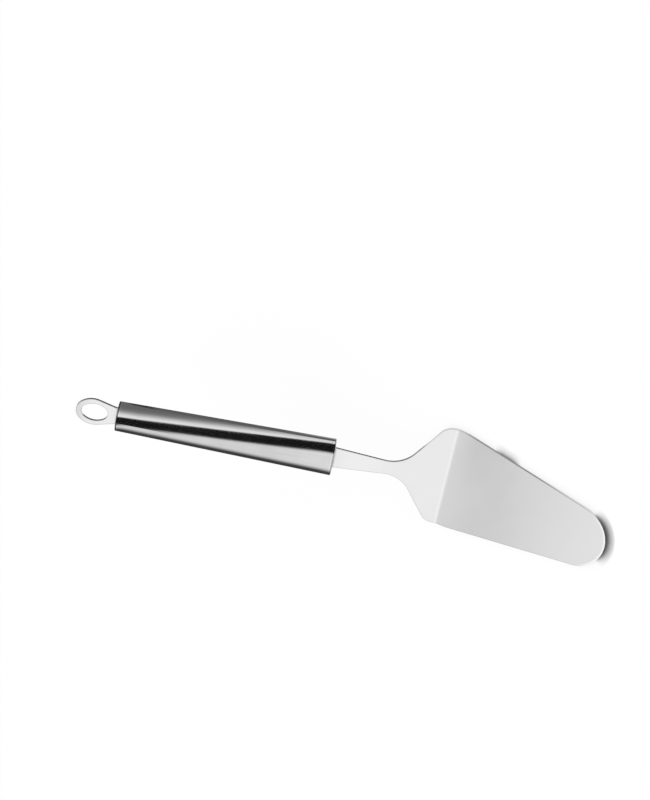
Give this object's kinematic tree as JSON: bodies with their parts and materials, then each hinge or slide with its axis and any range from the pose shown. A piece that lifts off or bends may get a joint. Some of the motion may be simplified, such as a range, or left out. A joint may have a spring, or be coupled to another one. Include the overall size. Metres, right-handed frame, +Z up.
{
  "type": "cake server",
  "caption": "Slim cake server: a flat tapered blade with a round tip, a cranked neck and a tapered tube handle ending in an oval hanging eye.",
  "frame": {"origin": "Middle of the blade's flat underside, halfway between the bend and the tip", "axes": "+X points from the origin to the blade's tip, +Y across the blade, +Z up off the flat blade; the handle rises towards -X"},
  "size_m": [0.2728, 0.0592, 0.0948],
  "materials": {
    "satin_steel": "fine matt satin",
    "brushed_steel": "fine lengthwise grain, near mirror",
    "cap_steel": "polished",
    "weld_steel": "dressed weld"
  },
  "bodies": {
    "root": {"blade": "satin_steel", "handle_tube": "brushed_steel", "front_cap": "cap_steel", "rear_cap": "cap_steel", "hanging_loop": "satin_steel", "neck_weld": "weld_steel", "loop_weld": "weld_steel"}
  },
  "joints": []
}
